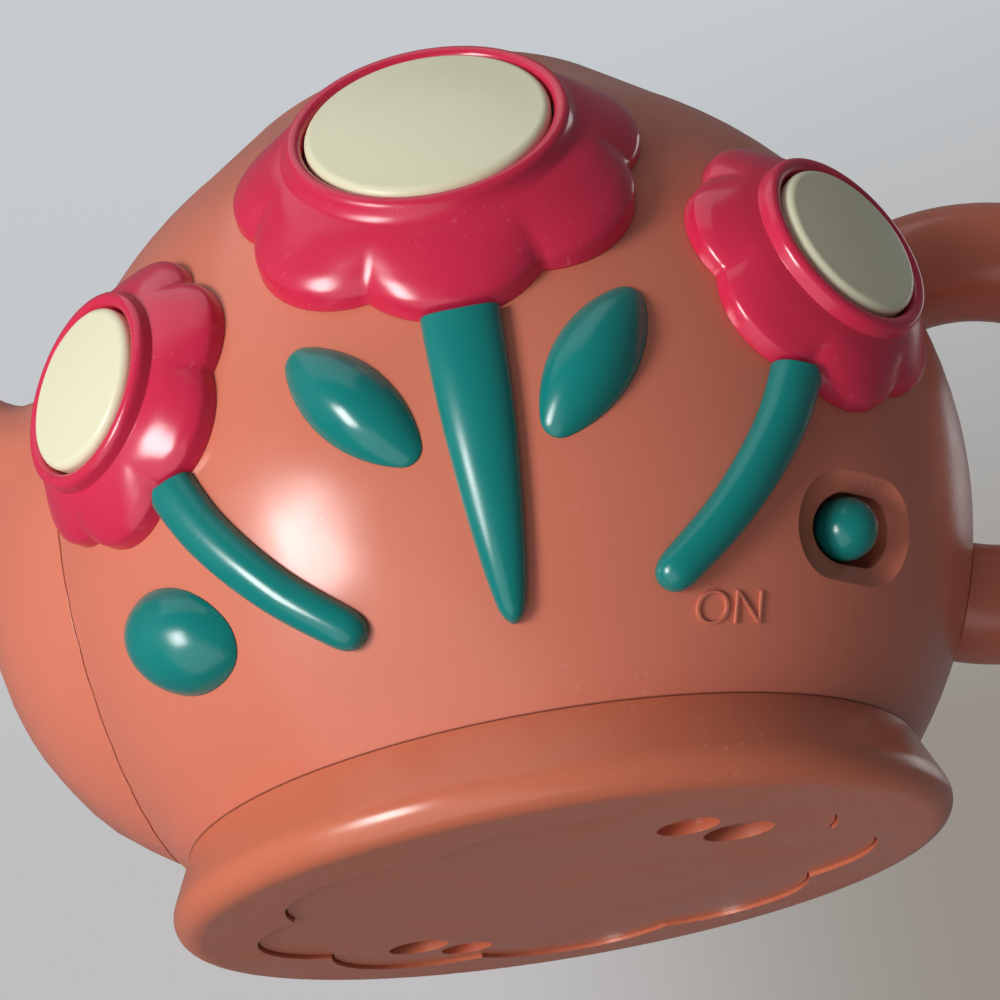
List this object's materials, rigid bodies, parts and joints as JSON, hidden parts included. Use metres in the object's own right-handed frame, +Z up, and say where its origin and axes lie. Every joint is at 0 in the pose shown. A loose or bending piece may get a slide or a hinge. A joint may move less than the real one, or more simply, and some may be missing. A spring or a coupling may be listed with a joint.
{
  "type": "toy teapot",
  "caption": "Ball-shaped toy teapot with flower push buttons, raised stems and leaves, a slide switch, a lift-off lid, a curved spout, a loop handle and a screwed underside cover.",
  "frame": {"origin": "centre of the foot's ring on the table, under the ball's axis", "axes": "+X from the spout to the handle, -Y the side with the flowers, +Z up through the lid"},
  "size_m": [0.1879, 0.1203, 0.1162],
  "materials": {
    "coral": "moulded gloss",
    "coral_foot": "moulded gloss",
    "pink": "moulded gloss",
    "cream": "moulded gloss",
    "teal": "moulded gloss",
    "steel": "plated",
    "rubber": "matt",
    "board": "lacquered",
    "dark": "matt",
    "cell": "printed sleeve"
  },
  "bodies": {
    "pot": {"front_shell": "coral", "rear_shell": "coral", "spout": "coral", "handle": "coral", "mouth_cup": "coral", "foot": "coral_foot", "underside_cover": "coral_foot", "cover_screw_front": "steel", "cover_screw_rear": "steel", "foot_screw_1": "steel", "foot_screw_2": "steel", "foot_screw_3": "steel", "foot_screw_4": "steel", "shell_screw_1": "steel", "shell_screw_2": "steel", "shell_screw_3": "steel", "shell_screw_4": "steel", "main_flower": "pink", "left_flower": "pink", "right_flower": "pink", "main_dome": "rubber", "left_dome": "rubber", "right_dome": "rubber", "main_pad": "board", "left_pad": "board", "right_pad": "board", "main_stem": "teal", "left_stem": "teal", "right_stem": "teal", "left_leaf": "teal", "right_leaf": "teal", "dot": "teal", "switch_body": "dark", "battery_box": "coral_foot", "cell_1": "cell", "cell_2": "cell", "cell_3": "cell", "contact_plus": "steel", "contact_minus": "steel", "sound_board": "board", "speaker": "dark"},
    "lid_body": {"lid": "coral", "lid_knob": "teal"},
    "main_press": {"main_button": "cream"},
    "left_press": {"left_button": "cream"},
    "right_press": {"right_button": "cream"},
    "switch_slider": {"switch_knob": "teal"}
  },
  "joints": [
    {"name": "lid_lift", "type": "slide", "parent": "pot", "child": "lid_body", "axis": [0, 0, 1], "range_m": [0, 0.03]},
    {"name": "main_button_press", "type": "slide", "parent": "pot", "child": "main_press", "axis": [0, 0.9205, -0.3907], "range_m": [0, 0.0015], "stiffness_N_per_m": 800, "deforming": ["main_dome"]},
    {"name": "left_button_press", "type": "slide", "parent": "pot", "child": "left_press", "axis": [0.6495, 0.7524, -0.1097], "range_m": [0, 0.0015], "stiffness_N_per_m": 800, "deforming": ["left_dome"]},
    {"name": "right_button_press", "type": "slide", "parent": "pot", "child": "right_press", "axis": [-0.6495, 0.7524, -0.1097], "range_m": [0, 0.0015], "stiffness_N_per_m": 800, "deforming": ["right_dome"]},
    {"name": "switch_slide", "type": "slide", "parent": "pot", "child": "switch_slider", "axis": [0.7349, 0.6782, 0], "range_m": [0, 0.003]}
  ]
}
